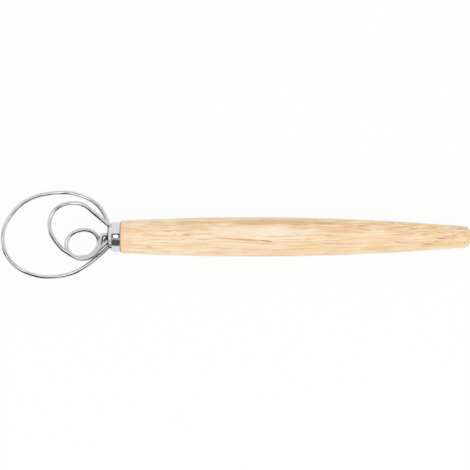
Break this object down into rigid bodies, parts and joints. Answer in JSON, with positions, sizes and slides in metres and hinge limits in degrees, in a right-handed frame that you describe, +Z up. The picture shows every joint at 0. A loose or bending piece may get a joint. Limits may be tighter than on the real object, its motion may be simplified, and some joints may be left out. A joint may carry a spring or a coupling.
{
  "type": "dough whisk",
  "caption": "Flat dough whisk with bent wire loops inside one another, seated in a polished ferrule on a turned wooden handle.",
  "frame": {"origin": "under the middle of the part's box, on the surface that the belly of the handle rests on", "axes": "+X along the handle towards its butt, +Y across the flat of the head, +Z up from the surface that it lies on"},
  "size_m": [0.3398, 0.0642, 0.0284],
  "materials": {
    "wood": "turned pale beech, thin satin lacquer",
    "ferrule_steel": "polished",
    "plug_steel": "turned",
    "wire_steel": "polished stainless wire",
    "weld_steel": "tack weld"
  },
  "bodies": {
    "root": {"handle": "wood", "ferrule": "ferrule_steel", "wire_plug": "plug_steel", "outer_loop": "wire_steel", "middle_loop": "wire_steel", "inner_ring": "wire_steel", "weld_beads": "weld_steel"}
  },
  "joints": []
}
